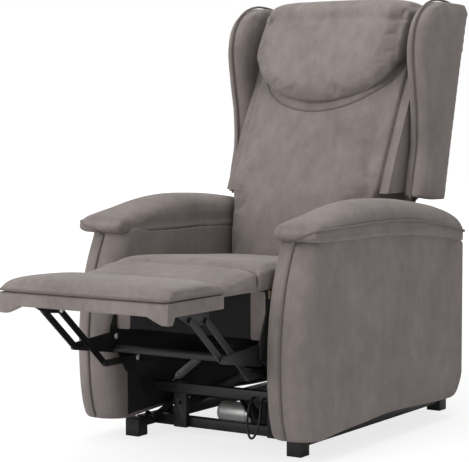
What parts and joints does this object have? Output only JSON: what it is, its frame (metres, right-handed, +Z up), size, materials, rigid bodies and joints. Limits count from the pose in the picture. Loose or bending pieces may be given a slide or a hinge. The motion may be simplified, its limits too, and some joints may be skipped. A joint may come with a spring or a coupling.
{
  "type": "lift recliner chair",
  "caption": "Wing-back lift recliner with padded arms and raised footrest on a steel scissor linkage; the seat lifts and tips forward on a low base frame.",
  "frame": {"origin": "on the floor under the middle of the chair's outline with the footrest out", "axes": "+Z up, the sitter faces -Y, the sitter's right is -X"},
  "size_m": [0.697, 1.327, 1.122],
  "materials": {
    "upholstery": "taupe suede-look microfibre",
    "lining": "black lining cloth",
    "black_steel": "black powder coat",
    "zinc": "zinc plate",
    "black_plastic": "matte moulded",
    "plywood": "raw plywood"
  },
  "bodies": {
    "base": {"base_rail_right": "black_steel", "base_rail_left": "black_steel", "foot_front_right": "black_plastic", "foot_front_left": "black_plastic", "foot_rear_right": "black_plastic", "foot_rear_left": "black_plastic", "bar_post_right": "black_steel", "bar_post_left": "black_steel", "base_front_tube": "black_steel", "base_rear_tube": "black_steel"},
    "lift_arms": {"lift_arm_right": "black_steel", "lift_arm_left": "black_steel", "lift_cross_tube": "black_steel"},
    "front_lift_links": {"front_lift_link_right": "black_steel", "front_lift_link_left": "black_steel"},
    "lift_actuator": {"lift_actuator_housing": "black_plastic"},
    "lift_rod": {"lift_actuator_rod": "zinc"},
    "chassis": {"chassis_plate_right": "black_steel", "chassis_plate_left": "black_steel", "spring_right": "zinc", "spring_left": "zinc", "arm_right": "upholstery", "arm_left": "upholstery", "arm_pad_right": "upholstery", "arm_pad_left": "upholstery", "lower_cross_bar": "black_steel", "rear_cross_tube": "black_steel", "spring_rail": "black_steel", "seat_deck": "plywood", "front_fascia": "lining", "rear_panel": "lining", "control_box": "black_plastic", "cable_loop": "black_plastic", "seat_cushion": "upholstery", "bridge_pad": "upholstery"},
    "recline_actuator": {"recline_actuator_housing": "black_plastic", "recline_motor": "zinc"},
    "recline_rod": {"recline_actuator_rod": "zinc"},
    "back": {"outside_back": "upholstery", "back_frame": "plywood", "back_cushion": "upholstery", "headrest": "upholstery", "recline_bar": "black_steel", "wing_right": "upholstery", "wing_left": "upholstery", "recline_bracket_right": "black_steel", "recline_bracket_left": "black_steel"},
    "footrest_drive": {"front_link_right": "black_steel", "front_link_left": "black_steel", "torque_tube": "black_steel"},
    "long_links": {"long_link_right": "black_steel", "long_link_left": "black_steel"},
    "outer_links": {"outer_link_right": "black_steel", "outer_link_left": "black_steel"},
    "guide_links": {"guide_link_right": "black_steel", "guide_link_left": "black_steel"},
    "footrest": {"footrest_bracket_right": "black_steel", "footrest_bracket_left": "black_steel", "footrest_board": "upholstery", "footrest_pad": "upholstery"}
  },
  "joints": [
    {"name": "lift", "type": "hinge", "parent": "base", "child": "lift_arms", "pos_m": [0, 0.0065, 0.047], "axis": [1, 0, 0], "range_deg": [0, 55]},
    {"name": "chassis_tilt", "type": "hinge", "parent": "lift_arms", "child": "chassis", "pos_m": [0, 0.3065, 0.09], "axis": [1, 0, 0], "range_deg": [-28.2, 0]},
    {"name": "front_lift_link_swing", "type": "hinge", "parent": "base", "child": "front_lift_links", "pos_m": [0, -0.0943, 0.047], "axis": [1, 0, 0], "range_deg": [0, 63.81]},
    {"name": "lift_actuator_pitch", "type": "hinge", "parent": "base", "child": "lift_actuator", "pos_m": [0, 0.5465, 0.052], "axis": [1, 0, 0], "range_deg": [-21.15, 0]},
    {"name": "lift_rod_slide", "type": "slide", "parent": "lift_actuator", "child": "lift_rod", "axis": [0, -0.9969, 0.0784], "range_m": [0, 0.1701]},
    {"name": "recline", "type": "hinge", "parent": "chassis", "child": "back", "pos_m": [0, 0.4865, 0.28], "axis": [1, 0, 0], "range_deg": [-25, 0]},
    {"name": "recline_actuator_pitch", "type": "hinge", "parent": "chassis", "child": "recline_actuator", "pos_m": [0, -0.0105, 0.062], "axis": [1, 0, 0], "range_deg": [0, 3.92]},
    {"name": "recline_rod_slide", "type": "slide", "parent": "recline_actuator", "child": "recline_rod", "axis": [0, 0.9644, 0.2643], "range_m": [-0.0284, 0]},
    {"name": "footrest_fold", "type": "hinge", "parent": "chassis", "child": "footrest_drive", "pos_m": [0, -0.2545, 0.271], "axis": [1, 0, 0], "range_deg": [0, 85], "deforming": ["bridge_pad"]},
    {"name": "long_link_swing", "type": "hinge", "parent": "footrest_drive", "child": "long_links", "pos_m": [0, -0.3545, 0.257], "axis": [1, 0, 0], "range_deg": [-127.64, 0]},
    {"name": "outer_link_swing", "type": "hinge", "parent": "footrest_drive", "child": "outer_links", "pos_m": [0, -0.417, 0.2635], "axis": [1, 0, 0], "range_deg": [-127.64, 0]},
    {"name": "footrest_level", "type": "hinge", "parent": "long_links", "child": "footrest", "pos_m": [0, -0.4725, 0.358], "axis": [1, 0, 0], "range_deg": [0, 127.64]},
    {"name": "guide_link_swing", "type": "hinge", "parent": "chassis", "child": "guide_links", "pos_m": [0, -0.1707, 0.2083], "axis": [1, 0, 0], "range_deg": [0, 57.2]}
  ],
  "couplings": [
    {"joint": "chassis_tilt", "follows": "lift", "ratio": -0.50909},
    {"joint": "front_lift_link_swing", "follows": "lift", "ratio": 1.1565},
    {"joint": "lift_actuator_pitch", "follows": "lift", "ratio": -0.3809},
    {"joint": "lift_rod_slide", "follows": "lift", "m_per_rad": 0.17618},
    {"joint": "recline_actuator_pitch", "follows": "recline", "ratio": -0.14897},
    {"joint": "recline_rod_slide", "follows": "recline", "m_per_rad": 0.06286},
    {"joint": "long_link_swing", "follows": "footrest_fold", "ratio": -1.4993},
    {"joint": "outer_link_swing", "follows": "footrest_fold", "ratio": -1.4993},
    {"joint": "footrest_level", "follows": "footrest_fold", "ratio": 1.4993},
    {"joint": "guide_link_swing", "follows": "footrest_fold", "ratio": 0.67054}
  ]
}
